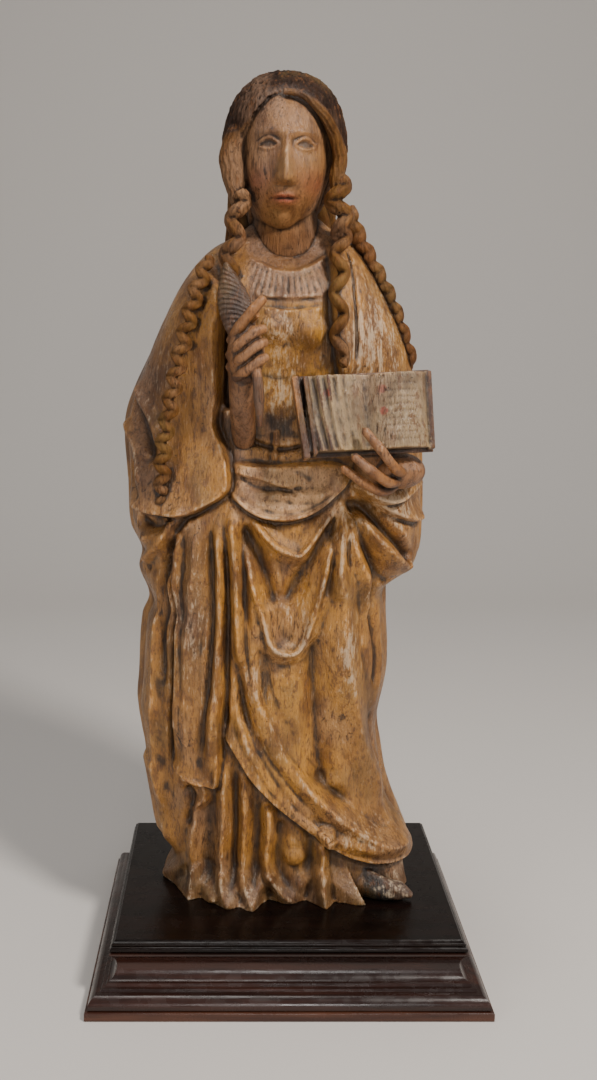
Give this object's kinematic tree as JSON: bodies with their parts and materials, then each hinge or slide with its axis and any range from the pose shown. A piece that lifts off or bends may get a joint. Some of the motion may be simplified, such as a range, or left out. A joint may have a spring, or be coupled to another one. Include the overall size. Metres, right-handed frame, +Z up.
{
  "type": "wooden saint statue",
  "caption": "Carved wooden standing saint in a mantle, with a palm in the right hand and an open book on the left, on a dark moulded plinth.",
  "frame": {"origin": "middle of the plinth's underside", "axes": "+Z up, -Y towards the viewer in front of the figure, +X to the viewer's right"},
  "size_m": [0.441, 0.348, 0.9969],
  "materials": {
    "figure_wood": "carved wood with worn ochre and gold brown paint, rubbed to wood and pale ground on the ridges, dark in the hollows",
    "plinth_dark_wood": "near black mahogany with a polished varnish",
    "plinth_red_wood": "dark red brown mahogany with a polished varnish"
  },
  "bodies": {
    "root": {"saint_figure": "figure_wood", "plinth_top_board": "plinth_dark_wood", "plinth_moulding": "plinth_dark_wood", "plinth_base_slab": "plinth_red_wood"}
  },
  "joints": []
}
